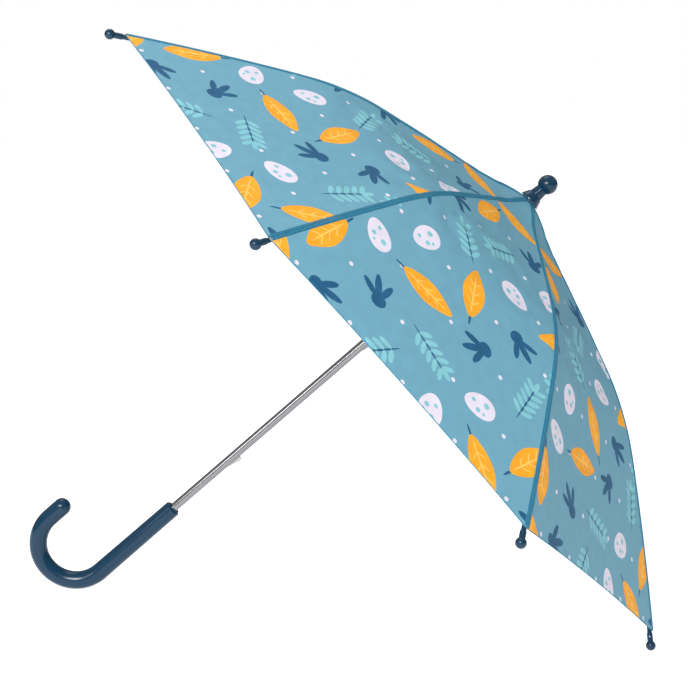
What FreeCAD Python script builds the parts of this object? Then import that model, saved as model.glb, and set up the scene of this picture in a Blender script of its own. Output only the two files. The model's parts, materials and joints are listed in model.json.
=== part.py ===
"""A child's stick umbrella, resting open on the floor on two rib tips and the bend of its crook.

Every piece is drawn in the umbrella's own frame and then set down on the floor by one placement.
In the umbrella's frame +Z runs up the shaft to the ball on top, the origin is the centre of the
ring that the ribs hinge on, and +X points at the stretch of hem that lies lowest on the floor.
In the finished frame +Z is up, +X runs from the crook to the canopy, and the origin is on the
floor under the middle of the whole umbrella.
"""

import FreeCAD
import Part
import Sketcher
import math
import os

from FreeCAD import Placement, Rotation, Vector

RIB_COUNT = 8

# Driving dimensions, in millimetres and degrees.
DIMENSIONS = {
    # canopy and ribs
    "rib_length": 370.0,
    "slope_top": 13.8,
    "slope_inner": 15.9,
    "slope_outer": 32.2,
    "slope_end": 35.0,
    "bend_start": 0.40,
    "bend_end": 0.62,
    "ring_rad": 10.0,
    "ring_wire_rad": 0.5,
    "rib_width": 3.2,
    "half_rib_height": 1.4,
    "rib_gap": 2.2,
    "rib_web": 0.5,
    "rib_neck": 7.0,
    "channel_end": 363.0,
    "neck_thick": 1.2,
    "neck_height": 2.0,
    "eye_rad": 1.7,
    "eye_hole": 0.65,
    "pin_rad": 1.05,
    "pin_root": 355.0,
    # fabric
    "fabric_below": 2.5,
    "fabric_thick": 0.6,
    "fabric_gap": 0.25,
    "fabric_start": 6.6,
    "hem_scallop": 3.0,
    "centre_lift": 4.1,
    "lift_length": 42.0,
    # rib tips
    "tip_ball_rad": 4.1,
    "tip_ball_at": 11.8,
    "tip_sleeve_rad": 1.9,
    "tip_sleeve_start": -5.5,
    "tip_neck_rad": 2.4,
    "tip_bore": 1.15,
    "thread_hole": 0.5,
    # stretchers
    "joint_share": 0.485,
    "stretcher_width": 3.0,
    "stretcher_height": 2.2,
    "stretcher_wall": 0.5,
    "tongue_thick": 1.4,
    "tongue_height": 1.6,
    "tongue_length": 14.0,
    "blade_thick": 1.2,
    "blade_length": 12.0,
    "rivet_rad": 0.45,
    "rivet_head_rad": 1.1,
    "rivet_head_thick": 0.5,
    # shaft
    "shaft_rad": 4.0,
    "shaft_bore": 3.5,
    "shaft_top": 16.0,
    "shaft_bottom": -471.0,
    "fit_gap": 0.05,
    # crown
    "crown_rad": 12.4,
    "crown_bottom": -3.0,
    "crown_top": 5.4,
    "slot_top": 3.0,
    "slot_floor": 7.4,
    "slot_width": 1.8,
    # ferrule
    "ferrule_ball_rad": 8.6,
    "ferrule_ball_at": 29.5,
    "ferrule_neck_rad": 5.4,
    "flange_rad": 9.2,
    "flange_shoulder": 7.2,
    "flange_bottom": 9.0,
    "flange_top": 14.8,
    "washer_rad": 10.0,
    "washer_thick": 0.6,
    # runner
    "runner_ring_rad": 9.5,
    "runner_closed": -366.0,
    "fold_angle": 64.5,
    "runner_bore": 4.12,
    "sleeve_rad": 8.3,
    "sleeve_length": 42.0,
    "collar_rad": 12.0,
    "collar_half": 4.0,
    "rim_rad": 9.8,
    "rim_height": 3.0,
    "keyway_width": 2.4,
    "keyway_reach": 7.3,
    # catches
    "catch_out": 2.9,
    "catch_thick": 1.4,
    "catch_length": 15.0,
    "catch_slot": 1.8,
    "catch_slot_extra": 0.6,
    "lower_catch_at": -349.0,
    # handle
    "handle_top": -411.0,
    "grip_length": 91.4,
    "grip_top_rad": 7.6,
    "grip_rad": 8.1,
    "hook_rad": 33.6,
    "hook_end_length": 15.0,
    "handle_chamfer": 1.6,
    "handle_bore": 4.05,
    # closing strap
    "strap_from": 0.62,
    "strap_to": 0.9,
    "strap_half_share": 0.055,
    "strap_centre": 0.3,
    "strap_thick": 0.8,
}

os.makedirs("parts", exist_ok=True)
doc = FreeCAD.newDocument("Umbrella")
sheet = doc.addObject("Spreadsheet::Sheet", "Sheet")
for row, (word, number) in enumerate(DIMENSIONS.items(), start=1):
    sheet.set(f"A{row}", word)
    sheet.set(f"B{row}", str(number))
    sheet.setAlias(f"B{row}", word)
doc.recompute()

D = {word: float(sheet.get(word)) for word in DIMENSIONS}


# ---------------------------------------------------------------- geometry worked out from the sheet

# Where a rib's three arcs start and end, and how steeply, in radians, it falls there.
KNOTS = [share * D["rib_length"] for share in (0.0, D["bend_start"], D["bend_end"], 1.0)]
SLOPES = [math.radians(D[word]) for word in ("slope_top", "slope_inner", "slope_outer",
                                             "slope_end")]
SLOPE_END = SLOPES[-1]


def rib_arcs():
    """(radius, centre out, centre up) of each arc, the first from the hinge on the ring."""
    arcs, out, up = [], D["ring_rad"], 0.0
    for index in range(3):
        first, last = SLOPES[index], SLOPES[index + 1]
        radius = (KNOTS[index + 1] - KNOTS[index]) / (last - first)
        centre = (out - radius * math.sin(first), up - radius * math.cos(first))
        arcs.append((radius, *centre))
        out, up = centre[0] + radius * math.sin(last), centre[1] + radius * math.cos(last)
    return arcs


ARCS = rib_arcs()


def arc_at(along):
    """The number of the arc that holds a point this far along a rib."""
    return sum(along > knot for knot in KNOTS[1:-1])


def rib_slope(along):
    """How steeply a rib falls, in radians, this far along it from its hinge."""
    index = arc_at(along)
    return SLOPES[index] + (along - KNOTS[index]) / ARCS[index][0]


def rib_point(along, outward=0.0):
    """(radius, height) of a point on a rib's line, moved off the line towards the fabric."""
    radius, out, up = ARCS[arc_at(along)]
    slope, reach = rib_slope(along), radius + outward
    return out + reach * math.sin(slope), up + reach * math.cos(slope)


def folded(point):
    """A (radius, height) point of a rib once the rib has folded down."""
    turn = math.radians(D["fold_angle"])
    out, up = point[0] - D["ring_rad"], point[1]
    return (D["ring_rad"] + out * math.cos(turn) + up * math.sin(turn),
            -out * math.sin(turn) + up * math.cos(turn))


JOINT_ALONG = D["joint_share"] * D["rib_length"]
JOINT = rib_point(JOINT_ALONG)
JOINT_FOLDED = folded(JOINT)
STRETCHER_LENGTH = math.hypot(JOINT_FOLDED[0] - D["runner_ring_rad"],
                              JOINT_FOLDED[1] - D["runner_closed"])
STRETCHER_OUT = JOINT[0] - D["runner_ring_rad"]
RUNNER_OPEN = JOINT[1] - math.sqrt(STRETCHER_LENGTH**2 - STRETCHER_OUT**2)
STRETCHER_RISE = math.degrees(math.atan2(JOINT[1] - RUNNER_OPEN, STRETCHER_OUT))

TIP_END = rib_point(D["rib_length"])
TIP_CENTRE = (TIP_END[0] + D["tip_ball_at"] * math.cos(SLOPE_END),
              TIP_END[1] - D["tip_ball_at"] * math.sin(SLOPE_END))
HOOK_CENTRE = (-D["hook_rad"], D["handle_top"] - D["grip_length"])
HOOK_OUTER = D["hook_rad"] + D["grip_rad"]


def resting_pose():
    """The placement that sets the umbrella down on two tips and the crook."""
    half = math.pi / RIB_COUNT
    low_x = TIP_CENTRE[0] * math.cos(half)
    across = low_x - HOOK_CENTRE[0]
    down = TIP_CENTRE[1] - HOOK_CENTRE[1]
    level = HOOK_OUTER - D["tip_ball_rad"]
    tilt = math.atan2(across, down) - math.asin(level / math.hypot(across, down))
    side, rise = math.cos(tilt), math.sin(tilt)
    front = rise * low_x + side * TIP_CENTRE[1] + D["tip_ball_rad"]
    back = rise * HOOK_CENTRE[0] + side * HOOK_CENTRE[1] - HOOK_OUTER
    floor = -side * low_x + rise * TIP_CENTRE[1] - D["tip_ball_rad"]
    turn = Rotation(Vector(0, 1, 0), 90 - math.degrees(tilt))
    return Placement(Vector(-(front + back) / 2, 0, -floor), turn)


STAND = resting_pose()


def around(index):
    """The placement that turns something drawn along +X to rib number index, from 0."""
    step = 360 / RIB_COUNT
    return Placement(Vector(), Rotation(Vector(0, 0, 1), step * (index - (RIB_COUNT - 1) / 2)))


# ---------------------------------------------------------------- small helpers

nodes = []


def bind(thing, **sizes):
    """Tie each named property to a formula in sheet words."""
    for name, formula in sizes.items():
        thing.setExpression(name, formula)
    return thing


def finish(thing, label, place=Placement()):
    """Name a finished piece and set it down with the umbrella."""
    thing.Label = label
    thing.Placement = STAND.multiply(place)
    nodes.append(thing)
    return thing


def cylinder(name, radius, height, at=Placement(), **more):
    thing = doc.addObject("Part::Cylinder", name)
    thing.Placement = at
    return bind(thing, Radius=radius, Height=height, **more)


def box(name, length, width, height, at=Placement()):
    thing = doc.addObject("Part::Box", name)
    thing.Placement = at
    return bind(thing, Length=length, Width=width, Height=height)


def fuse(name, pieces):
    thing = doc.addObject("Part::MultiFuse", name)
    thing.Shapes = pieces
    return thing


def cut(name, base, tools):
    """base with every tool taken away."""
    tool = tools[0] if len(tools) == 1 else fuse(name + "Tools", tools)
    thing = doc.addObject("Part::Cut", name)
    thing.Base = base
    thing.Tool = tool
    return thing


def shift(dx=0.0, dy=0.0, dz=0.0):
    return Placement(Vector(dx, dy, dz), Rotation())


def turned(axis, degrees, dx=0.0, dy=0.0, dz=0.0):
    return Placement(Vector(dx, dy, dz), Rotation(Vector(*axis), degrees))


LYING = Rotation(Vector(1, 0, 0), -90)  # a cylinder that lies along +Y


def plane_of(body, role):
    return next(f for f in body.Origin.OriginFeatures if f.Role == role)


def value(words):
    """A signed sum of sheet words, such as 'grip_rad - fit_gap', as a number."""
    total, sign = 0.0, 1
    for word in words.split():
        if word in "+-":
            sign = -1 if word == "-" else 1
            continue
        total += sign * (float(word) if word not in D else D[word])
        sign = 1
    return total


def formula(words):
    """The same signed sum as a formula for setExpression."""
    return " ".join("Sheet." + word if word in D else word for word in words.split())


def outline_sketch(body, name, corners, role="XZ_Plane"):
    """A closed outline through corners, each a pair of signed sums held by two constraints."""
    sketch = body.newObject("Sketcher::SketchObject", name)
    sketch.AttachmentSupport = [(plane_of(body, role), "")]
    sketch.MapMode = "FlatFace"
    spots = [Vector(value(across), value(up), 0) for across, up in corners]
    count = len(spots)
    for index in range(count):
        sketch.addGeometry(Part.LineSegment(spots[index], spots[(index + 1) % count]))
    for index in range(count):
        after = (index + 1) % count
        sketch.addConstraint(Sketcher.Constraint("Coincident", index, 2, after, 1))
    for index, (across, up) in enumerate(corners):
        for kind, words in (("DistanceX", across), ("DistanceY", up)):
            number = sketch.addConstraint(
                Sketcher.Constraint(kind, -1, 1, index, 1, value(words)))
            sketch.setExpression(f"Constraints[{number}]", formula(words))
    return sketch


def turned_body(name, corners):
    """A body turned about its Z axis from a half outline of (radius, height) corners."""
    body = doc.addObject("PartDesign::Body", name)
    sketch = outline_sketch(body, name + "Outline", corners)
    turning = body.newObject("PartDesign::Revolution", name + "Turning")
    turning.Profile = sketch
    turning.ReferenceAxis = (sketch, ["V_Axis"])
    turning.Angle = 360
    body.Tip = turning
    return body


# ---------------------------------------------------------------- shaft, crown, ferrule, handle

def make_shaft():
    body = turned_body("ShaftTube", [
        ("shaft_bore", "shaft_bottom"), ("shaft_rad", "shaft_bottom"),
        ("shaft_rad", "shaft_top"), ("shaft_bore", "shaft_top")])
    slots = [box(name + "Slot", "Sheet.shaft_rad * 2", "Sheet.catch_slot",
                 "Sheet.catch_length + 2 * Sheet.catch_slot_extra",
                 shift(0, -D["catch_slot"] / 2, height - D["catch_slot_extra"]))
             for name, height in (("Upper", UPPER_CATCH), ("Lower", D["lower_catch_at"]))]
    finish(cut("Shaft", body, slots), "shaft_tube")


def make_crown():
    body = turned_body("CrownBlank", [
        ("shaft_rad + fit_gap", "crown_bottom"), ("crown_rad - 1", "crown_bottom"),
        ("crown_rad", "crown_bottom + 1"), ("crown_rad", "crown_top - 1"),
        ("crown_rad - 1", "crown_top"), ("shaft_rad + fit_gap", "crown_top")])
    groove = bind(doc.addObject("Part::Torus", "CrownGroove"),
                  Radius1="Sheet.ring_rad", Radius2="Sheet.ring_wire_rad")
    tools = [groove] + rib_slots("Crown", "crown_bottom", "slot_top", D["slot_floor"])
    finish(cut("Crown", body, tools), "crown")
    wire = bind(doc.addObject("Part::Torus", "CrownWire"),
                Radius1="Sheet.ring_rad", Radius2="Sheet.ring_wire_rad")
    finish(wire, "crown_wire")


def rib_slots(name, bottom, top, floor, base=0.0):
    """One thin box for each rib, from floor outwards."""
    slots = []
    for index in range(RIB_COUNT):
        at = around(index).multiply(
            shift(floor, -D["slot_width"] / 2, base + value(bottom) - 1))
        slots.append(box(f"{name}Slot{index + 1}", "Sheet.crown_rad", "Sheet.slot_width",
                         formula(top) + " - (" + formula(bottom) + ") + 1", at))
    return slots


def make_ferrule():
    turned_part = turned_body("FerruleBlank", [
        ("shaft_rad + fit_gap", "flange_bottom"), ("flange_rad", "flange_bottom"),
        ("flange_rad", "flange_bottom + 1"), ("flange_shoulder", "flange_top"),
        ("ferrule_neck_rad + 0.8", "flange_top + 1"), ("ferrule_neck_rad", "ferrule_ball_at - 6"),
        ("ferrule_neck_rad", "ferrule_ball_at"),
        ("fit_gap", "ferrule_ball_at"), ("fit_gap", "shaft_top + 0.4"),
        ("shaft_rad + fit_gap", "shaft_top + 0.4")])
    ball = bind(doc.addObject("Part::Sphere", "FerruleBall"), Radius="Sheet.ferrule_ball_rad")
    ball.Placement = shift(0, 0, D["ferrule_ball_at"])
    finish(fuse("Ferrule", [turned_part, ball]), "ferrule")
    for label, height in (("inner_washer", "crown_top + 0.1"),
                          ("outer_washer", "flange_bottom - 0.7")):
        washer = turned_body(label.title().replace("_", ""), [
            ("shaft_rad + fit_gap", height), ("washer_rad", height),
            ("washer_rad", height + " + washer_thick"),
            ("shaft_rad + fit_gap", height + " + washer_thick")])
        finish(washer, label)


def make_handle():
    grip = turned_body("Grip", [
        ("handle_bore", "handle_top - grip_length"), ("grip_rad", "handle_top - grip_length"),
        ("grip_top_rad", "handle_top - handle_chamfer"),
        ("grip_top_rad - handle_chamfer", "handle_top"), ("handle_bore", "handle_top")])
    plug = cylinder("GripPlug", "Sheet.handle_bore", "Sheet.grip_length * 0.3",
                    shift(0, 0, D["handle_top"] - D["grip_length"]))
    bend = bind(doc.addObject("Part::Torus", "HookBend"),
                Radius1="Sheet.hook_rad", Radius2="Sheet.grip_rad")
    bend.Angle3 = 180
    bend.Placement = Placement(Vector(HOOK_CENTRE[0], 0, HOOK_CENTRE[1]),
                               Rotation(Vector(1, 0, 0), -90))
    end = cylinder("HookEnd", "Sheet.grip_rad", "Sheet.hook_end_length",
                   shift(2 * HOOK_CENTRE[0], 0, HOOK_CENTRE[1]))
    dome = bind(doc.addObject("Part::Sphere", "HookDome"), Radius="Sheet.grip_rad")
    dome.Placement = shift(2 * HOOK_CENTRE[0], 0, HOOK_CENTRE[1] + D["hook_end_length"])
    finish(fuse("Handle", [grip, plug, bend, end, dome]), "handle")


# ---------------------------------------------------------------- runner and catches

UPPER_CATCH = RUNNER_OPEN - D["sleeve_length"] - D["catch_length"] - 0.6


def make_runner():
    body = turned_body("RunnerBlank", [
        ("runner_bore", "collar_half"), ("collar_rad - 0.8", "collar_half"),
        ("collar_rad", "collar_half - 0.8"), ("collar_rad", "0 - collar_half"),
        ("sleeve_rad", "0 - collar_half - 2"), ("sleeve_rad", "rim_height - sleeve_length"),
        ("rim_rad", "rim_height - sleeve_length - 1"), ("rim_rad", "0 - sleeve_length"),
        ("runner_bore", "0 - sleeve_length")])
    groove = bind(doc.addObject("Part::Torus", "RunnerGroove"),
                  Radius1="Sheet.runner_ring_rad", Radius2="Sheet.ring_wire_rad")
    keyway = box("Keyway", "Sheet.keyway_reach", "Sheet.keyway_width",
                 "Sheet.sleeve_length + 3 * Sheet.collar_half",
                 shift(0, -D["keyway_width"] / 2, -D["sleeve_length"] - D["collar_half"]))
    slots = rib_slots("Runner", "0 - collar_half - 2.5", "collar_half + 1", D["slot_floor"] - 0.1)
    finish(cut("Runner", body, [groove, keyway] + slots), "runner", shift(0, 0, RUNNER_OPEN))
    wire = bind(doc.addObject("Part::Torus", "RunnerWireRing"),
                Radius1="Sheet.runner_ring_rad", Radius2="Sheet.ring_wire_rad")
    gaps = rib_slots("RunnerWire", "0 - collar_half", "collar_half", D["slot_floor"] - 0.1)
    finish(cut("RunnerWire", wire, gaps), "runner_wire", shift(0, 0, RUNNER_OPEN))


def make_catch(name, label, height):
    """A spring catch: a wedge that stands out of its slot, blunt end towards the stop."""
    body = doc.addObject("PartDesign::Body", name)
    outer = "shaft_rad + catch_out"
    sketch = outline_sketch(body, name + "Side", [
        ("shaft_bore - 2.9", "0"), ("shaft_rad + 0.1", "0"), (outer, "catch_length - 3"),
        (outer, "catch_length - 0.6"), ("shaft_rad + 0.4", "catch_length"),
        ("shaft_bore - 2.9", "catch_length")])
    pad = body.newObject("PartDesign::Pad", name + "Thickness")
    pad.Profile = sketch
    pad.Midplane = True
    pad.setExpression("Length", "Sheet.catch_thick")
    body.Tip = pad
    finish(body, label, shift(0, 0, height))


# ---------------------------------------------------------------- ribs, stretchers, rivets, tips

def rib_frame(along):
    """The placement of a frame on a rib: X along the rib, Z towards the fabric."""
    out, up = rib_point(along)
    return turned((0, 1, 0), math.degrees(rib_slope(along)), out, 0, up)


def arc_bar(name, outer, width, start, stop):
    """Sectors of discs about a rib's arc centres, from start to stop along the rib.

    outer is how far the discs reach past the rib's line, as a signed sum of sheet words.
    """
    discs = []
    ends = [start] + KNOTS[1:-1] + [stop]
    for index, (radius, out, up) in enumerate(ARCS):
        sweep = math.degrees((ends[index + 1] - ends[index]) / radius)
        disc = cylinder(f"{name}{index + 1}", f"{radius} + " + formula(outer), formula(width))
        disc.Angle = sweep
        # the disc's own angle runs from its X axis towards its Y axis, about its Z axis
        slope = SLOPES[index] + (ends[index] - KNOTS[index]) / radius
        lay = Rotation(Vector(1, 0, 0), 90).multiply(
            Rotation(Vector(0, 0, 1), 90 - math.degrees(slope) - sweep))
        disc.Placement = Placement(Vector(out, value(width) / 2, up), lay)
        discs.append(disc)
    return discs


def make_rib(index):
    name = f"Rib{index + 1}"
    start, stop = D["rib_neck"], D["channel_end"]
    bar = fuse(name + "Bar", arc_bar(name + "Disc", "half_rib_height", "rib_width", start, stop))
    under = arc_bar(name + "Under", "0 - half_rib_height", "rib_width + rib_web",
                    start - 2, stop + 2)
    gap = arc_bar(name + "Gap", "half_rib_height - rib_web", "rib_gap", start - 2, stop + 2)
    joint = rib_frame(JOINT_ALONG)
    hole = cylinder(name + "RivetHole", "Sheet.rivet_rad", "3 * Sheet.rib_width",
                    joint.multiply(Placement(Vector(0, -1.5 * D["rib_width"], 0), LYING)))
    channel = cut(name + "Channel", bar, under + gap + [hole])
    flat = rib_frame(0)
    half = D["neck_thick"] / 2
    neck = box(name + "Neck", "Sheet.rib_neck + 4", "Sheet.neck_thick", "Sheet.neck_height",
               flat.multiply(shift(0, -half, -D["neck_height"] / 2)))
    eye = cylinder(name + "Eye", "Sheet.eye_rad", "Sheet.neck_thick",
                   flat.multiply(Placement(Vector(0, -half, 0), LYING)))
    eye_hole = cylinder(name + "EyeHole", "Sheet.eye_hole", "3 * Sheet.neck_thick",
                        flat.multiply(Placement(Vector(0, -3 * half, 0), LYING)))
    pin_start = D["pin_root"] - D["rib_length"]
    pin = cylinder(name + "EndPin", "Sheet.pin_rad", "Sheet.rib_length - Sheet.pin_root",
                   rib_frame(D["rib_length"]).multiply(turned((0, 1, 0), 90, pin_start)))
    solid = cut(name, fuse(name + "Solid", [channel, neck, eye, pin]), [eye_hole])
    finish(solid, f"rib_{index + 1}", around(index))


def make_rivet(index):
    name = f"Rivet{index + 1}"
    half = D["rib_width"] / 2
    joint = rib_frame(JOINT_ALONG)
    shank = cylinder(name + "Shank", "Sheet.rivet_rad", "Sheet.rib_width",
                     joint.multiply(Placement(Vector(0, -half, 0), LYING)))
    heads = [cylinder(name + side, "Sheet.rivet_head_rad", "Sheet.rivet_head_thick",
                      joint.multiply(Placement(Vector(0, where, 0), LYING)))
             for side, where in (("Near", half), ("Far", -half - D["rivet_head_thick"]))]
    finish(fuse(name, [shank] + heads), f"rib_rivet_{index + 1}", around(index))


def make_stretcher(index):
    """Drawn along +X from the rivet to the runner, then turned to slope down to it."""
    name = f"Stretcher{index + 1}"
    half_tongue, half_blade = D["tongue_thick"] / 2, D["blade_thick"] / 2
    half_wide, half_high = D["stretcher_width"] / 2, D["stretcher_height"] / 2
    length = STRETCHER_LENGTH
    middle = f"{length} - Sheet.tongue_length - Sheet.blade_length"
    outer = box(name + "Outer", middle, "Sheet.stretcher_width", "Sheet.stretcher_height",
                shift(D["tongue_length"], -half_wide, -half_high))
    inner = box(name + "Inner", middle, "Sheet.stretcher_width - 2 * Sheet.stretcher_wall",
                "Sheet.stretcher_height",
                shift(D["tongue_length"], D["stretcher_wall"] - half_wide,
                      D["stretcher_wall"] - half_high))
    channel = cut(name + "Channel", outer, [inner])
    tongue = box(name + "Tongue", "Sheet.tongue_length + 3", "Sheet.tongue_thick",
                 "Sheet.tongue_height", shift(0, -half_tongue, -D["tongue_height"] / 2))
    tongue_eye = cylinder(name + "TongueEye", "Sheet.tongue_height / 2", "Sheet.tongue_thick",
                          Placement(Vector(0, -half_tongue, 0), LYING))
    blade = box(name + "Blade", "Sheet.blade_length + 3", "Sheet.blade_thick",
                "Sheet.neck_height",
                shift(length - D["blade_length"] - 3, -half_blade, -D["neck_height"] / 2))
    blade_eye = cylinder(name + "BladeEye", "Sheet.eye_rad", "Sheet.blade_thick",
                         Placement(Vector(length, -half_blade, 0), LYING))
    holes = [cylinder(name + "Hole" + end, radius, "4 * Sheet.blade_thick",
                      Placement(Vector(where, -2 * D["blade_thick"], 0), LYING))
             for end, where, radius in (("Rib", 0, "Sheet.rivet_rad + Sheet.fit_gap"),
                                        ("Runner", length, "Sheet.eye_hole + 0.05"))]
    solid = cut(name, fuse(name + "Solid", [channel, tongue, tongue_eye, blade, blade_eye]),
                holes)
    slope = turned((0, 1, 0), 180 - STRETCHER_RISE, JOINT[0], 0, JOINT[1])
    finish(solid, f"stretcher_{index + 1}", around(index).multiply(slope))


def make_tip(index):
    name = f"Tip{index + 1}"
    shell = turned_body(name + "Shell", [
        ("tip_bore", "tip_sleeve_start"), ("tip_sleeve_rad", "tip_sleeve_start"),
        ("tip_sleeve_rad", "0 + 1.5"), ("tip_neck_rad", "0 + 2"),
        ("tip_neck_rad", "tip_ball_at"), ("0", "tip_ball_at"), ("0", "0 + 0.3"),
        ("tip_bore", "0 + 0.3")])
    ball = bind(doc.addObject("Part::Sphere", name + "Ball"), Radius="Sheet.tip_ball_rad")
    ball.Placement = shift(0, 0, D["tip_ball_at"])
    hole = cylinder(name + "ThreadHole", "Sheet.thread_hole", "4 * Sheet.tip_neck_rad",
                    Placement(Vector(0, -2 * D["tip_neck_rad"], 4.5), LYING))
    solid = cut(name, fuse(name + "Solid", [shell, ball]), [hole])
    along_rib = rib_frame(D["rib_length"]).multiply(turned((0, 1, 0), 90))
    finish(solid, f"tip_{index + 1}", around(index).multiply(along_rib))


# ---------------------------------------------------------------- fabric

def lift(along):
    """How far the fabric rises over the crown, this far along from the rib hinges."""
    share = min(1.0, max(0.0, along / D["lift_length"]))
    return D["centre_lift"] * (1 - share * share * (3 - 2 * share))


def gore_corner(along, outward, side, inset):
    """A point near a rib: side is -1 or +1, and inset keeps it off the rib's centre line."""
    out, up = rib_point(along, outward)
    half = math.pi / RIB_COUNT
    across = out * math.sin(half) - inset / math.cos(half)
    return Vector(out * math.cos(half), side * across, up + lift(along))


def fabric_solid(start, stop, below, thick, shares, sections):
    """A thin solid between two ribs: straight chords between the shares, skinned along the rib."""
    wires = []
    for step in range(sections + 1):
        along = start + (stop - start) * step / sections
        corners = []
        for outward, order in ((below, shares), (below + thick, shares[::-1])):
            left = gore_corner(along, outward, -1, D["fabric_gap"])
            right = gore_corner(along, outward, 1, D["fabric_gap"])
            corners += [left + (right - left) * share for share in order]
        wires.append(Part.makePolygon(corners + corners[:1]))
    return Part.makeLoft(wires, True, False)


def scallop_cutter():
    """A cylinder whose side is the curve of the hem between two tips."""
    first = gore_corner(D["rib_length"], 0, -1, 0)
    half_chord = abs(first.y)
    radius = (half_chord**2 + D["hem_scallop"]**2) / (2 * D["hem_scallop"])
    before = gore_corner(D["rib_length"] - 1, 0, -1, 0)
    down = Vector(first.x - before.x, 0, first.z - before.z).normalize()
    normal = Vector(down.z, 0, -down.x) * -1
    centre = Vector(first.x, 0, first.z) + down * (radius - D["hem_scallop"])
    return Part.makeCylinder(radius, 120, centre - normal * 60, normal)


def make_fabric():
    cutter = scallop_cutter()
    gore = fabric_solid(D["fabric_start"] - D["ring_rad"], D["rib_length"], D["fabric_below"],
                        D["fabric_thick"], (0.0, 1.0), 12).cut(cutter)
    for index in range(RIB_COUNT):
        panel = doc.addObject("Part::Feature", f"Panel{index + 1}")
        panel.Shape = gore.Solids[0]
        finish(panel, f"canopy_panel_{index + 1}", around(index + 0.5))
    shares = (D["strap_centre"] - D["strap_half_share"], D["strap_centre"] + D["strap_half_share"])
    strap = doc.addObject("Part::Feature", "TieStrap")
    strap.Shape = fabric_solid(D["strap_from"] * D["rib_length"], D["strap_to"] * D["rib_length"],
                               D["fabric_below"] + D["fabric_thick"] + 0.3, D["strap_thick"],
                               shares, 6)
    finish(strap, "tie_strap", around(5.5))


# ---------------------------------------------------------------- the whole umbrella

make_shaft()
make_crown()
make_ferrule()
make_handle()
make_runner()
make_catch("UpperCatch", "upper_catch", UPPER_CATCH)
make_catch("LowerCatch", "lower_catch", D["lower_catch_at"])
for rib_index in range(RIB_COUNT):
    make_rib(rib_index)
    make_rivet(rib_index)
    make_stretcher(rib_index)
    make_tip(rib_index)
make_fabric()

doc.recompute()
for thing in doc.Objects:
    if "Invalid" in thing.State or "Error" in thing.State:
        raise RuntimeError(f"{thing.Name} did not compute: {thing.State}")
for node in nodes:
    if node.Shape.isNull() or not node.Shape.isValid():
        raise RuntimeError(f"{node.Label} has no valid shape")
for node in nodes:
    node.Shape.exportStep(f"parts/{node.Label}.step")
print(len(nodes), "nodes written, placed at", STAND)
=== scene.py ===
"""A child's stick umbrella with a print of leaves, tracks and eggs, finished around its frame.

Everything is in metres in the frame's own axes. The canopy is laid out on flat gores, in
millimetres: across runs from one rib to the next and along runs down from the ring of rib hinges.
"""

import bpy
import json
import math
from mathutils import Euler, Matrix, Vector
from mathutils.geometry import delaunay_2d_cdt

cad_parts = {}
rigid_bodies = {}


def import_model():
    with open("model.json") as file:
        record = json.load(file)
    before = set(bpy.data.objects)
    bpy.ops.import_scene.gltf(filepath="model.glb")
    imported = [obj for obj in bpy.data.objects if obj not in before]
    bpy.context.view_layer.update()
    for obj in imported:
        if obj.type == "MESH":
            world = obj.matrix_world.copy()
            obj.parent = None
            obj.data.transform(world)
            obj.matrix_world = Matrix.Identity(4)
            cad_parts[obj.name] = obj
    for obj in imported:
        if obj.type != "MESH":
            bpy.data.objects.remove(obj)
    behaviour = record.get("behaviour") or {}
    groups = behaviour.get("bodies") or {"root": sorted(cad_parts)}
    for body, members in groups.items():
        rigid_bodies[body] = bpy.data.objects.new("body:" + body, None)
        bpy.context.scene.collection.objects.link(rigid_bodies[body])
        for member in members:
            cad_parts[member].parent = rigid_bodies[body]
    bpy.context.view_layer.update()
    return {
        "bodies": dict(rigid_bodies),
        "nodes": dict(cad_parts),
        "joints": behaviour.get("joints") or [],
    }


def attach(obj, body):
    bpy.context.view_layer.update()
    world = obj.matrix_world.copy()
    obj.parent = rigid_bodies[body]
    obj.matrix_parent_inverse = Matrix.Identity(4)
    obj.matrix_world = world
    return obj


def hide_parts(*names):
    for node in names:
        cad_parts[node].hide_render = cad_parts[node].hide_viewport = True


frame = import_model()

MM = 0.001
GORES = 8
HALF_GORE = math.pi / GORES


# ---------------------------------------------------------------- where the canopy is

def joint(name):
    return next(j for j in frame["joints"] if j["name"] == name)


UP_SHAFT = -Vector(joint("runner_slide")["axis"]).normalized()
HINGES = [Vector(joint(f"rib_{n + 1}_fold")["pos_m"]) for n in range(GORES)]
RING_CENTRE = sum(HINGES, Vector()) / GORES
RIB_OUT = [(h - RING_CENTRE).normalized() for h in HINGES]
RING_RADIUS = (HINGES[0] - RING_CENTRE).length / MM

RIB_LENGTH = 370.0
RIB_KNOTS = (0.0, 148.0, 229.4, RIB_LENGTH)     # where each rib's three arcs start and end
RIB_SLOPES = [math.radians(slope) for slope in (13.8, 15.9, 32.2, 35.0)]
JOINT_ALONG = 179.45
HEM_SCALLOP = 3.0
CENTRE_LIFT = 4.1
LIFT_LENGTH = 42.0
CLOTH_HEIGHT = 2.75         # the cloth's middle over the rib's own line
CLOTH_THICK = 0.32
CLOTH_TOP = -3.0            # where the cloth goes in under the ferrule
GORE_SAG = 2.0              # how far tension pulls a gore in between its ribs
GATHER_HEIGHT = 0.5
GATHER_LENGTH = 60.0        # how far down the gathers by the ferrule die out
FOLD_HEIGHT = 0.85
FOLD_REACH = 24.0           # how far from a rib's joint its folds are highest
FOLD_COUNT = 9


def smooth_step(share):
    share = min(1.0, max(0.0, share))
    return share * share * (3 - 2 * share)


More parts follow.
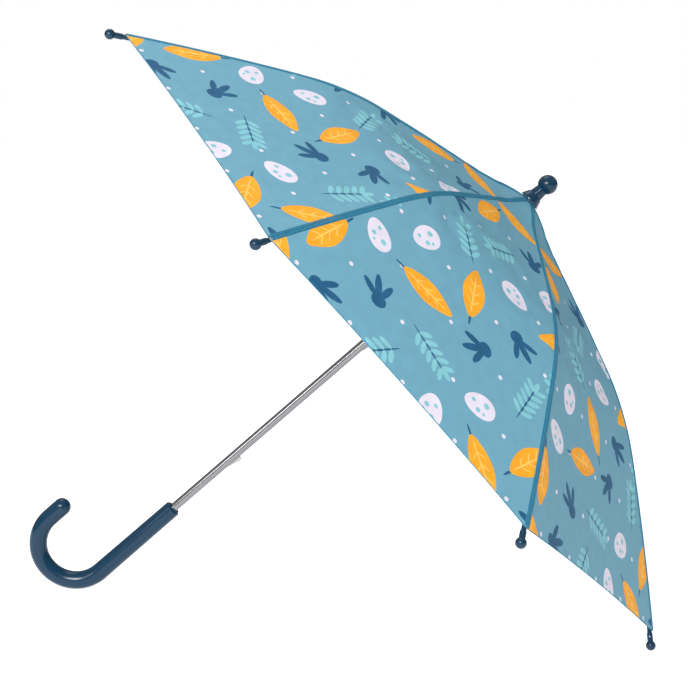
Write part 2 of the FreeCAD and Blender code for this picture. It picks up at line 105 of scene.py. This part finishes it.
def rib_arcs():
    """(radius, centre out, centre up) of each arc of a rib, the first from its hinge."""
    arcs, out, up = [], RING_RADIUS, 0.0
    for index in range(3):
        first, last = RIB_SLOPES[index], RIB_SLOPES[index + 1]
        radius = (RIB_KNOTS[index + 1] - RIB_KNOTS[index]) / (last - first)
        centre_out, centre_up = out - radius * math.sin(first), up - radius * math.cos(first)
        arcs.append((radius, centre_out, centre_up))
        out, up = centre_out + radius * math.sin(last), centre_up + radius * math.cos(last)
    return arcs


RIB_ARCS = rib_arcs()


def rib_slope(along):
    index = sum(along > knot for knot in RIB_KNOTS[1:-1])
    return RIB_SLOPES[index] + (along - RIB_KNOTS[index]) / RIB_ARCS[index][0]


def rib_point(along, outward):
    """(radius, height) in millimetres of a point over a rib's line."""
    radius, out, up = RIB_ARCS[sum(along > knot for knot in RIB_KNOTS[1:-1])]
    slope, reach = rib_slope(along), radius + outward
    lift = CENTRE_LIFT * (1 - smooth_step(along / LIFT_LENGTH))
    return out + reach * math.sin(slope), up + reach * math.cos(slope) + lift


def half_width(along, outward=CLOTH_HEIGHT):
    return rib_point(along, outward)[0] * math.sin(HALF_GORE)


def hem_along(share):
    """How far down the hem is, for a share across the gore from -1 to 1."""
    return RIB_LENGTH - HEM_SCALLOP * (1 - share * share)


def tension_folds(across, along):
    """How far the cloth stands out, in millimetres: gathers by the ferrule, folds by rib joints."""
    height = 0.0
    for side in (-1, 1):
        gathered = math.sin(0.19 * along + 1.1 * side) * math.exp(-along / GATHER_LENGTH)
        edge = half_width(along) - side * across
        height += GATHER_HEIGHT * gathered * smooth_step(edge / 10) * smooth_step(along / 20)
    for side in (-1, 1):
        inwards = half_width(along) - side * across
        down = along - JOINT_ALONG
        reach = math.hypot(inwards, down)
        fan = math.cos(FOLD_COUNT * math.atan2(down, inwards) + 1.3 * side)
        rise = FOLD_HEIGHT * (reach / FOLD_REACH) * math.exp(1 - reach / FOLD_REACH)
        height += rise * fan * smooth_step(inwards / 14)
    return height


def on_canopy(gore, across, along, outward=0.0):
    """The place in the frame of a point of gore number gore, counted from 0."""
    first, second = RIB_OUT[gore], RIB_OUT[(gore + 1) % GORES]
    middle = (first + second).normalized()
    side = (second - first).normalized()
    radius, height = rib_point(along, CLOTH_HEIGHT + outward)
    share = across / half_width(along)
    slack = math.sin(math.pi * min(1.0, max(0.0, along / RIB_LENGTH))**0.8)
    sag = GORE_SAG * slack * (1 - share**2) - tension_folds(across, along)
    slope = rib_slope(along)
    flat = middle * (radius * math.cos(HALF_GORE) - sag * math.sin(slope)) + side * across
    return RING_CENTRE + (flat + UP_SHAFT * (height - sag * math.cos(slope))) * MM


# ---------------------------------------------------------------- materials

def linear(red, green, blue):
    """An 8-bit screen colour as the linear values that a shader takes."""
    shares = (c / 255 for c in (red, green, blue))
    return [c / 12.92 if c <= 0.04045 else ((c + 0.055) / 1.055)**2.4 for c in shares] + [1.0]


class Shader:
    """A material being built around one Principled shader."""

    def __init__(self, name, **sockets):
        self.material = bpy.data.materials.new(name)
        self.material.use_nodes = True
        self.tree = self.material.node_tree
        self.surface = self.tree.nodes["Principled BSDF"]
        for socket, value in sockets.items():
            self.surface.inputs[socket.replace("_", " ")].default_value = value

    def add(self, kind, links=None, **settings):
        """A new node: links feed its sockets, settings are its properties or socket values."""
        node = self.tree.nodes.new("ShaderNode" + kind)
        for word, value in settings.items():
            if hasattr(node, word):
                setattr(node, word, value)
            else:
                node.inputs[word.replace("_", " ")].default_value = value
        for socket, source in (links or {}).items():
            self.tree.links.new(source, node.inputs[socket])
        return node

    def blend(self, share, low, high):
        """A colour that goes from low to high as share goes from 0 to 1."""
        ramp = self.add("ValToRGB", {"Fac": share})
        ramp.color_ramp.elements[0].color = low
        ramp.color_ramp.elements[1].color = high
        return ramp

    def colour(self, source):
        self.tree.links.new(source, self.surface.inputs["Base Color"])

    def roughness(self, share, low, high):
        spread = self.add("MapRange", {"Value": share}, To_Min=low, To_Max=high)
        self.tree.links.new(spread.outputs["Result"], self.surface.inputs["Roughness"])

    def bump(self, height, distance, strength=1.0):
        node = self.add("Bump", {"Height": height}, Distance=distance, Strength=strength)
        self.tree.links.new(node.outputs["Normal"], self.surface.inputs["Normal"])


def weave(shader, threads=2.2):
    """Crossed threads, this many to the millimetre, on a UV map laid out in millimetres."""
    place = shader.add("UVMap", uv_map="flat")
    waves = []
    for direction in ("X", "Y"):
        wave = shader.add("TexWave", {"Vector": place.outputs["UV"]}, wave_type="BANDS",
                          bands_direction=direction, Scale=threads, Distortion=0.4, Detail=1.0)
        waves.append(wave.outputs["Fac"])
    mixed = shader.add("Math", {0: waves[0], 1: waves[1]}, operation="MULTIPLY")
    return mixed.outputs["Value"], place


def scaled(colour, factor):
    return [min(1.0, c * factor) for c in colour[:3]] + [1.0]


def cloth_material(name, colour, mottle=0.06, tone=1.0):
    """Printed polyester: a little uneven dye, a fine weave and a soft sheen."""
    shader = Shader(name, Specular_IOR_Level=0.16)
    threads, place = weave(shader)
    dye = shader.add("TexNoise", {"Vector": place.outputs["UV"]}, Scale=0.09, Detail=5.0)
    base = scaled(colour, tone)
    ramp = shader.blend(dye.outputs["Fac"], scaled(base, 1 - mottle), scaled(base, 1 + mottle))
    ramp.color_ramp.elements[0].position = 0.3
    ramp.color_ramp.elements[1].position = 0.7
    shader.colour(ramp.outputs["Color"])
    shader.roughness(threads, 0.55, 0.72)
    shader.bump(threads, 0.00006, 0.5)
    return shader.material


CLOTH = linear(103, 155, 175)
COLOURS = {
    "cloth": (CLOTH, 0.04),
    "orange": (linear(236, 158, 38), 0.1),
    "yellow": (linear(236, 190, 96), 0.08),
    "navy": (linear(34, 86, 122), 0.15),
    "white": (linear(214, 208, 222), 0.05),
    "aqua": (linear(124, 186, 196), 0.08),
}
PRINT_ORDER = list(COLOURS)


def cloth_materials():
    """The print's colours for the outside, then the same seen faintly through on the inside, a
    little darker: painted light, the print as lit cloth would show it through.
    """
    outside = [cloth_material("print_" + word, *COLOURS[word]) for word in PRINT_ORDER]
    inside = []
    for word in PRINT_ORDER:
        colour, mottle = COLOURS[word]
        # painted light: a faint copy of the print, as if light showed it through the cloth
        faint = [0.45 * a + 0.55 * b for a, b in zip(colour, CLOTH)]
        inside.append(cloth_material("reverse_" + word, faint, mottle, 0.92))
    return outside + inside


STITCH_LENGTH = 2.6
THREAD_THICK = 0.44


def band_material(name, colour, stitch_rows):
    """Doubled cloth with stitches, in rows at these places across the band in millimetres."""
    shader = Shader(name, Specular_IOR_Level=0.2)
    threads, place = weave(shader)
    parts = shader.add("SeparateXYZ", {"Vector": place.outputs["UV"]})
    dash = shader.add("Math", {0: parts.outputs["Y"]}, operation="PINGPONG")
    dash.inputs[1].default_value = STITCH_LENGTH / 2
    on = shader.add("Math", {0: dash.outputs["Value"]}, operation="GREATER_THAN")
    on.inputs[1].default_value = 0.35
    rows = []
    for row in stitch_rows:
        near = shader.add("Math", {0: parts.outputs["X"]}, operation="COMPARE")
        near.inputs[1].default_value = row
        near.inputs[2].default_value = THREAD_THICK / 2
        rows.append(near.outputs["Value"])
    row = rows[0]
    for more in rows[1:]:
        row = shader.add("Math", {0: row, 1: more}, operation="MAXIMUM").outputs["Value"]
    stitch = shader.add("Math", {0: row, 1: on.outputs["Value"]}, operation="MULTIPLY")
    dye = shader.add("TexNoise", {"Vector": place.outputs["UV"]}, Scale=0.2, Detail=4.0)
    base = shader.blend(dye.outputs["Fac"], scaled(colour, 0.9), scaled(colour, 1.1))
    thread = shader.add("Mix", {0: stitch.outputs["Value"], 6: base.outputs["Color"]},
                        data_type="RGBA")
    thread.inputs[7].default_value = scaled(colour, 0.5)
    shader.colour(thread.outputs[2])
    height = shader.add("Math", {0: threads, 1: stitch.outputs["Value"]}, operation="ADD")
    shader.roughness(threads, 0.55, 0.7)
    shader.bump(height.outputs["Value"], 0.00012, 0.6)
    return shader.material


def plastic_material(name, colour, gloss, grain=0.0):
    """Moulded plastic: faint flow marks, fine scuffs in the gloss."""
    shader = Shader(name, Specular_IOR_Level=0.3)
    place = shader.add("TexCoord").outputs["Object"]
    flow = shader.add("TexNoise", {"Vector": place}, Scale=38.0, Detail=3.0)
    ramp = shader.blend(flow.outputs["Fac"], scaled(colour, 0.88), scaled(colour, 1.14))
    shader.colour(ramp.outputs["Color"])
    scuff = shader.add("TexNoise", {"Vector": place}, Scale=900.0, Detail=4.0)
    shader.roughness(scuff.outputs["Fac"], gloss * 0.75, gloss * 1.35)
    shader.bump(scuff.outputs["Fac"], 0.00002 + grain, 0.4)
    return shader.material


def metal_material(name, colour, gloss, stretch):
    """Drawn metal: marks stretched along the shaft's direction, and a little dullness."""
    shader = Shader(name, Metallic=1.0)
    place = shader.add("TexCoord").outputs["Object"]
    turn = UP_SHAFT.rotation_difference(Vector((0, 0, 1))).to_euler()
    lined = shader.add("Mapping", {"Vector": place}, Rotation=turn, Scale=(1, 1, stretch))
    marks = shader.add("TexNoise", {"Vector": lined.outputs["Vector"]}, Scale=1400.0, Detail=4.0)
    ramp = shader.blend(marks.outputs["Fac"], scaled(colour, 0.86), scaled(colour, 1.08))
    shader.colour(ramp.outputs["Color"])
    shader.roughness(marks.outputs["Fac"], gloss * 0.7, gloss * 1.4)
    shader.bump(marks.outputs["Fac"], 0.00001, 0.3)
    return shader.material


NAVY_PLASTIC = plastic_material("navy_plastic", linear(12, 46, 68), 0.19)
RUNNER_PLASTIC = plastic_material("runner_plastic", linear(24, 52, 76), 0.38, 0.00003)
CHROME = metal_material("chrome_tube", linear(138, 136, 138), 0.12, 0.02)
WASHER_CLOTH = plastic_material("washer_felt", linear(30, 84, 112), 0.8)
STEEL = metal_material("rib_steel", linear(190, 192, 196), 0.3, 0.05)
SPRING_STEEL = metal_material("spring_steel", linear(170, 168, 165), 0.35, 0.3)


def finish_cad_nodes():
    """Gives every kept CAD node its material."""
    for name, node in frame["nodes"].items():
        if name.startswith("tip_") or name in ("handle", "ferrule"):
            material = NAVY_PLASTIC
        elif name in ("crown", "runner"):
            material = RUNNER_PLASTIC
        elif name.endswith("_washer"):
            material = WASHER_CLOTH
        elif name == "shaft_tube":
            material = CHROME
        elif name.endswith("_catch"):
            material = SPRING_STEEL
        else:
            material = STEEL
        node.data.materials.clear()
        node.data.materials.append(material)


# ---------------------------------------------------------------- the print, drawn in millimetres

def smooth_loop(corners, steps=4):
    """A closed Catmull-Rom curve through a few corners."""
    count = len(corners)
    loop = []
    for index in range(count):
        before, start, end, after = (Vector(corners[(index + n) % count]) for n in (-1, 0, 1, 2))
        for step in range(steps):
            t = step / steps
            loop.append(0.5 * (2 * start + (end - before) * t
                               + (2 * before - 5 * start + 4 * end - after) * t**2
                               + (3 * start - before - 3 * end + after) * t**3))
    return loop


def oval(x, y, long, wide, turn=0.0, count=14):
    lean = math.radians(turn)
    loop = []
    for index in range(count):
        angle = 2 * math.pi * index / count
        a, b = long * math.cos(angle), wide * math.sin(angle)
        loop.append(Vector((x + a * math.cos(lean) - b * math.sin(lean),
                            y + a * math.sin(lean) + b * math.cos(lean))))
    return loop


def area_of(loop):
    return sum(a.x * b.y - b.x * a.y for a, b in zip(loop, loop[1:] + loop[:1])) / 2


def broad_leaf():
    """One pointed leaf with a midrib and three pairs of veins."""
    edge = smooth_loop([(-21, 0), (-12, 6.5), (1, 9), (13, 5.5), (21, 0), (13, -5.5), (1, -9),
                        (-12, -6.5)])
    layers = [(oval(-22, 0, 6, 0.9), "navy"), (edge, "orange"), (oval(-1, 0, 17, 0.6), "yellow")]
    for x in (-10, -2, 6):
        for side in (-1, 1):
            layers.append((oval(x + 2.5, 2.6 * side, 3.6, 0.45, 42 * side, 8), "yellow"))
    return layers


def track():
    """A plain three-toed footprint."""
    toes = [(oval(3.5, 0, 9, 2.7), "navy")]
    for side in (-1, 1):
        toes.append((oval(1, 6 * side, 7.5, 2.4, 38 * side), "navy"))
    return toes + [(oval(-7, 0, 5, 5.6), "navy")]


def sprig():
    """A stem with five pairs of small leaves."""
    layers = [(oval(0, 0, 18, 0.7), "navy"), (oval(18, 0, 4.5, 2), "aqua")]
    for n in range(5):
        x = -11 + 6 * n
        for side in (-1, 1):
            layers.append((oval(x + 2.8, 4.4 * side, 5, 1.9, 55 * side), "aqua"))
    return layers


def egg():
    """A pale egg with round spots."""
    shell = [Vector((12 * math.cos(a), (8.8 - 1.3 * math.cos(a)) * math.sin(a)))
             for a in (2 * math.pi * n / 28 for n in range(28))]
    layers = [(shell, "white")]
    for x, y, size in ((-5, 2, 2.2), (1.5, -3.5, 1.8), (5, 2.5, 1.5), (-3, -5, 1.2)):
        layers.append((oval(x, y, size, size), "aqua"))
    return layers


MOTIFS = (broad_leaf, track, sprig, egg)
FIRST_ROW = 62.0
ROWS = 8
COLUMNS = range(-3, 4)
ROW_STEP = 43.0
MOTIF_STEP = 54.0
MOTIF_SIZE = 1.2
DOT_SIZE = 1.9
TURN_STEP = 137.5           # each motif is turned this much further than the last, in degrees


def print_layers():
    """Every coloured loop of a half-drop repeat in paint order, in the gore's millimetres."""
    layers = []
    for row in range(ROWS):
        along = FIRST_ROW + ROW_STEP * row
        for column in COLUMNS:
            across = MOTIF_STEP * (column + 0.5 * (row % 2))
            motif = MOTIFS[(2 * (row // 2) + row % 2 + column) % len(MOTIFS)]
            lean = math.radians(TURN_STEP * (7 * row + column))
            for loop, colour in motif():
                placed = []
                for point in loop:
                    x, y = MOTIF_SIZE * point
                    placed.append(Vector((across + x * math.cos(lean) - y * math.sin(lean),
                                          along + x * math.sin(lean) + y * math.cos(lean))))
                layers.append((placed, colour))
            layers.append((oval(across + MOTIF_STEP / 2, along + 3, DOT_SIZE, DOT_SIZE), "white"))
    return layers


# ---------------------------------------------------------------- cloth pieces

EDGE_STEPS = 46
HEM_STEPS = 36
GRID = 9.0
CROWN_STEPS = 4


def gore_outline():
    """The edge of a flat gore: down one rib, along the hem, up the other rib, across the top."""
    steps = [CLOTH_TOP + (RIB_LENGTH - CLOTH_TOP) * n / EDGE_STEPS for n in range(EDGE_STEPS + 1)]
    down = [Vector((-half_width(along), along)) for along in steps]
    hem = []
    for n in range(1, HEM_STEPS):
        share = 2 * n / HEM_STEPS - 1
        hem.append(Vector((share * half_width(hem_along(share)), hem_along(share))))
    up = [Vector((-p.x, p.y)) for p in reversed(down)]
    top = [up[-1].lerp(down[0], n / CROWN_STEPS) for n in range(1, CROWN_STEPS)]
    return down + hem + up + top


def flat_print():
    """The printed gore as flat points, triangles and the colour of each triangle."""
    loops = [(gore_outline(), "cloth")] + print_layers()
    points, faces = [], []
    for loop, _ in loops:
        faces.append(list(range(len(points), len(points) + len(loop))))
        points += loop if area_of(loop) > 0 else loop[::-1]
    along = CLOTH_TOP + GRID
    while along < RIB_LENGTH:
        wide = half_width(along)
        count = max(1, round(2 * wide / GRID))
        points += [Vector((wide * (2 * (n + 0.5) / count - 1), along)) for n in range(count)]
        along += GRID
    flat, _, triangles, _, _, sources = delaunay_2d_cdt(points, [], faces, 1, 1e-4)
    kept, colours = [], []
    for triangle, source in zip(triangles, sources):
        if 0 in source:
            kept.append(triangle[::-1])
            colours.append(PRINT_ORDER.index(loops[max(source)][1]))
    used = sorted({n for triangle in kept for n in triangle})
    place = {old: new for new, old in enumerate(used)}
    return [flat[n] for n in used], [[place[n] for n in face] for face in kept], colours


def fold_group(body):
    """Moves each point the share named fold of the way from its own body's pose to body's."""
    group = bpy.data.node_groups.new("fold_to_" + body.name, "GeometryNodeTree")
    group.interface.new_socket("Geometry", in_out="INPUT", socket_type="NodeSocketGeometry")
    group.interface.new_socket("Geometry", in_out="OUTPUT", socket_type="NodeSocketGeometry")
    nodes, link = group.nodes, group.links.new
    start, end = nodes.new("NodeGroupInput"), nodes.new("NodeGroupOutput")
    other = nodes.new("GeometryNodeObjectInfo")
    other.transform_space = "RELATIVE"
    other.inputs["Object"].default_value = body
    share = nodes.new("GeometryNodeInputNamedAttribute")
    share.data_type = "FLOAT"
    share.inputs["Name"].default_value = "fold"
    place = nodes.new("GeometryNodeInputPosition")
    moved = nodes.new("FunctionNodeTransformPoint")
    mix = nodes.new("ShaderNodeMix")
    mix.data_type = "VECTOR"
    write = nodes.new("GeometryNodeSetPosition")
    link(place.outputs["Position"], moved.inputs["Vector"])
    link(other.outputs["Transform"], moved.inputs["Transform"])
    link(share.outputs["Attribute"], mix.inputs[0])
    link(place.outputs["Position"], mix.inputs[4])
    link(moved.outputs["Vector"], mix.inputs[5])
    link(start.outputs["Geometry"], write.inputs["Geometry"])
    link(mix.outputs[1], write.inputs["Position"])
    link(write.outputs["Geometry"], end.inputs["Geometry"])
    return group


FOLDS = [fold_group(frame["bodies"][f"rib_{(n + 1) % GORES + 1}"]) for n in range(GORES)]


def mark_open_edges(mesh):
    """Keeps the cloth's cut edges from bending the shading of its faces."""
    uses = {}
    for face in mesh.polygons:
        for key in face.edge_keys:
            uses[key] = uses.get(key, 0) + 1
    for edge in mesh.edges:
        edge.use_edge_sharp = uses.get(edge.key, 0) == 1


def cloth_piece(name, gore, points, faces, flats, materials, indices=None, thick=CLOTH_THICK,
                inside=0):
    """A mesh from frame points that folds between the two ribs of its gore.

    flats are the (across, along) of each point, for the weave and for the fold.
    """
    mesh = bpy.data.meshes.new(name)
    mesh.from_pydata(points, [], faces)
    for material in materials:
        mesh.materials.append(material)
    if indices:
        mesh.polygons.foreach_set("material_index", indices)
    mesh.polygons.foreach_set("use_smooth", [True] * len(faces))
    fold = mesh.attributes.new("fold", "FLOAT", "POINT")
    fold.data.foreach_set("value", [0.5 + 0.5 * a / half_width(s) for a, s in flats])
    layer = mesh.uv_layers.new(name="flat")
    for loop in mesh.loops:
        layer.data[loop.index].uv = flats[loop.vertex_index]
    mark_open_edges(mesh)
    piece = bpy.data.objects.new(name, mesh)
    bpy.context.scene.collection.objects.link(piece)
    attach(piece, f"rib_{gore + 1}")
    folding = piece.modifiers.new("fold", "NODES")
    folding.node_group = FOLDS[gore]
    shell = piece.modifiers.new("thickness", "SOLIDIFY")
    shell.thickness = thick * MM
    shell.offset = 0.0
    shell.material_offset = inside
    shell.material_offset_rim = inside
    return piece


def make_gores():
    flat, triangles, colours = flat_print()
    flats = [(p.x, p.y) for p in flat]
    materials = cloth_materials()
    for gore in range(GORES):
        points = [on_canopy(gore, across, along) for across, along in flats]
        piece = cloth_piece(f"gore_{gore + 1}", gore, points, triangles, flats, materials,
                            colours, inside=len(PRINT_ORDER))
        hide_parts(f"canopy_panel_{gore + 1}")
        hem, seam = make_hem(gore), make_seam(gore)


HEM_WIDTH = 5.0
HEM_MATERIAL = band_material("hem_cloth", linear(70, 136, 164), (3.9,))
# The seam's stitches are real thread; its darker blue is painted shade, where the rib and the
# doubled cloth let less light through.
SEAM_MATERIAL = band_material("seam_cloth", linear(44, 120, 150), (2.0,))


def strip_faces(rows, columns):
    """Faces of a grid of points, which face outwards if its rows run down the canopy."""
    return [(r * columns + c, (r + 1) * columns + c, (r + 1) * columns + c + 1, r * columns + c + 1)
            for r in range(rows - 1) for c in range(columns - 1)]


def make_hem(gore):
    """The turned and stitched edge, on the inside of the gore with its fold just past the cloth."""
    columns = ((0.35, -0.05), (0.45, -0.3), (0.2, -0.62), (-1.2, -0.72), (-HEM_WIDTH, -0.5))
    points, flats = [], []
    for n in range(HEM_STEPS * 2 + 1):
        share = n / HEM_STEPS - 1
        for beyond, outward in columns:
            along = hem_along(share) + beyond
            across = share * half_width(along)
            points.append(on_canopy(gore, across, along, outward))
            flats.append((across, along))
    rows = HEM_STEPS * 2 + 1
    piece = cloth_piece(f"hem_{gore + 1}", gore, points, strip_faces(rows, len(columns)), flats,
                        [HEM_MATERIAL], thick=0.25)
    layer = piece.data.uv_layers["flat"]
    for loop in piece.data.loops:
        row, column = divmod(loop.vertex_index, len(columns))
        layer.data[loop.index].uv = (-columns[column][0], row * 3.6)
    return piece


SEAM_STEPS = 70
SEAM_SECTION = ((0.12, 0.45), (1.0, 0.45), (2.4, 0.38), (2.7, 0.12))   # (in from the rib, outward)


def make_seam(gore):
    """The gore's halves of the felled seams over its two ribs."""
    rows, columns = SEAM_STEPS, SEAM_SECTION
    points, flats, uvs, faces = [], [], [], []
    for side in (-1, 1):
        first = len(points)
        for row in range(rows):
            along = CLOTH_TOP + (RIB_LENGTH - 0.5 - CLOTH_TOP) * row / (rows - 1)
            for inset, height in columns:
                across = side * (half_width(along) - inset)
                points.append(on_canopy(gore, across, along, height))
                flats.append((across, along))
                uvs.append((inset, along))
        grid = [[first + n for n in face] for face in strip_faces(rows, len(columns))]
        faces += grid if side < 0 else [face[::-1] for face in grid]
    piece = cloth_piece(f"seam_{gore + 1}", gore, points, faces, flats, [SEAM_MATERIAL],
                        thick=0.3)
    layer = piece.data.uv_layers["flat"]
    for loop in piece.data.loops:
        layer.data[loop.index].uv = uvs[loop.vertex_index]
    return piece


STRAP_GORE = 5
STRAP_ALONG = (232.0, 332.0)
STRAP_CENTRE = -0.42
STRAP_HALF = 8.0


def make_strap():
    """The closing strap, sewn to a far gore near its hem and lying flat on it."""
    rows, columns = 30, 5
    points, flats = [], []
    for row in range(rows):
        along = STRAP_ALONG[0] + (STRAP_ALONG[1] - STRAP_ALONG[0]) * row / (rows - 1)
        for column in range(columns):
            side = 2 * column / (columns - 1) - 1
            across = STRAP_CENTRE * half_width(along) + side * STRAP_HALF
            ripple = 0.5 * math.sin(row * 0.55) * (1 - row / rows)
            points.append(on_canopy(STRAP_GORE, across, along, 1.6 + ripple))
            flats.append((across, along))
    piece = cloth_piece("closing_strap", STRAP_GORE, points, strip_faces(rows, columns), flats,
                        [band_material("strap_cloth", linear(70, 138, 168), (-6.5, 6.5))],
                        thick=0.9)
    layer = piece.data.uv_layers["flat"]
    for loop in piece.data.loops:
        row, column = divmod(loop.vertex_index, columns)
        layer.data[loop.index].uv = ((2 * column / (columns - 1) - 1) * STRAP_HALF, row * 3.4)
    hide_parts("tie_strap")


# ---------------------------------------------------------------- camera, floor and light

CAMERA_PLACE = (0.0395, -1.3254, 0.4466)
CAMERA_LENS = 79.35
CAMERA_TURNS = (1.17, 9.32, 0.456)      # heading, downward tilt and roll in degrees
FLOOR_SIZE = 12.0
FLOOR_GLOW = 0.82


def make_camera():
    data = bpy.data.cameras.new("camera")
    data.lens = CAMERA_LENS
    data.sensor_width = 36.0
    camera = bpy.data.objects.new("camera", data)
    bpy.context.scene.collection.objects.link(camera)
    camera.location = CAMERA_PLACE
    heading, down, roll = (math.radians(turn) for turn in CAMERA_TURNS)
    aim = Euler((math.pi / 2 - down, 0, heading)).to_matrix()
    camera.rotation_euler = (aim @ Euler((0, 0, roll)).to_matrix()).to_euler()
    bpy.context.scene.camera = camera


def make_floor():
    size = FLOOR_SIZE
    mesh = bpy.data.meshes.new("floor")
    mesh.from_pydata([(-size, -size, 0), (size, -size, 0), (size, size, 0), (-size, size, 0)], [],
                     [(0, 1, 2, 3)])
    floor = bpy.data.objects.new("floor", mesh)
    bpy.context.scene.collection.objects.link(floor)
    shader = Shader("floor_paper", Roughness=0.9)
    shader.surface.inputs["Base Color"].default_value = (0.8, 0.8, 0.8, 1)
    shader.surface.inputs["Emission Color"].default_value = (1, 1, 1, 1)
    shader.surface.inputs["Emission Strength"].default_value = FLOOR_GLOW
    mesh.materials.append(shader.material)


def area_light(name, place, aim, size, power):
    data = bpy.data.lights.new(name, "AREA")
    data.shape = "DISK"
    data.size = size
    data.energy = power
    light = bpy.data.objects.new(name, data)
    bpy.context.scene.collection.objects.link(light)
    light.location = place
    light.rotation_euler = (Vector(aim) - Vector(place)).to_track_quat("-Z", "Y").to_euler()


ROOM_AT_HORIZON = 0.04      # how bright the white room is as a light
ROOM_OVERHEAD = 0.5


def make_light():
    world = bpy.data.worlds.new("studio")
    world.use_nodes = True
    nodes, link = world.node_tree.nodes, world.node_tree.links.new
    back = nodes["Background"]
    back.inputs["Color"].default_value = (1, 1, 1, 1)
    place, parts = nodes.new("ShaderNodeTexCoord"), nodes.new("ShaderNodeSeparateXYZ")
    room = nodes.new("ShaderNodeMapRange")
    room.inputs["From Max"].default_value = 0.5
    room.inputs["To Min"].default_value = ROOM_AT_HORIZON
    room.inputs["To Max"].default_value = ROOM_OVERHEAD
    path, level = nodes.new("ShaderNodeLightPath"), nodes.new("ShaderNodeMapRange")
    link(place.outputs["Generated"], parts.inputs["Vector"])
    link(parts.outputs["Z"], room.inputs["Value"])
    link(room.outputs["Result"], level.inputs["To Min"])
    link(path.outputs["Is Camera Ray"], level.inputs["Value"])
    link(level.outputs["Result"], back.inputs["Strength"])
    bpy.context.scene.world = world
    area_light("key", (-0.8, -2.6, 1.55), (0, 0, 0.25), 1.2, 84)
    area_light("top", (-0.2, 0.5, 2.4), (0, 0, 0.2), 1.5, 12)
    area_light("shine", (-1.9, -2.1, 1.3), (-0.1, 0, 0.2), 0.7, 10)
    bpy.context.scene.view_settings.view_transform = "Standard"


make_camera()
finish_cad_nodes()
make_gores()
make_strap()
make_floor()
make_light()
